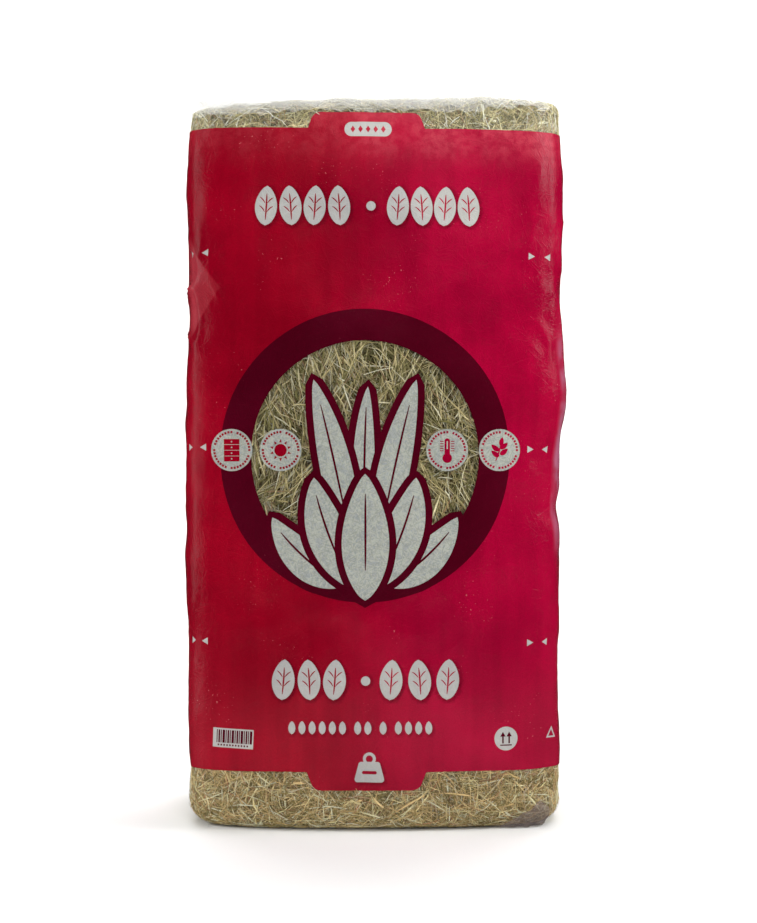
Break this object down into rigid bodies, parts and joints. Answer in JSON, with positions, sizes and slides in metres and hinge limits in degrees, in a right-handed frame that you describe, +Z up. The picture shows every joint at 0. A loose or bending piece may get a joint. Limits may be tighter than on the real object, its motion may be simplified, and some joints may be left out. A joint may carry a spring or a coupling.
{
  "type": "square hay bale",
  "caption": "Rectangular bale of pressed hay portions in a clear film bag with a printed sleeve, a round window and welded ends; stands upright on its flat base.",
  "frame": {"origin": "centre of the resting face, under the middle of the bale", "axes": "+Z up the standing bale, +X to the right and +Y away, as seen from the printed front"},
  "size_m": [0.3898, 0.2678, 0.756],
  "materials": {
    "hay": "dry, matte, chopped grass stalks and leaf",
    "printed_film": "satin red ink on polyethylene film",
    "dark_print": "satin dark red ink on polyethylene film",
    "pale_print": "satin pale grey ink on polyethylene film",
    "clear_film": "clear, slightly hazy polyethylene film"
  },
  "bodies": {
    "root": {"hay_portion_1": "hay", "hay_portion_2": "hay", "hay_portion_3": "hay", "hay_portion_4": "hay", "film_sleeve": "printed_film", "bottom_end_film": "clear_film", "top_end_film": "clear_film", "bottom_weld_fin": "clear_film", "top_weld_fin": "clear_film"}
  },
  "joints": []
}
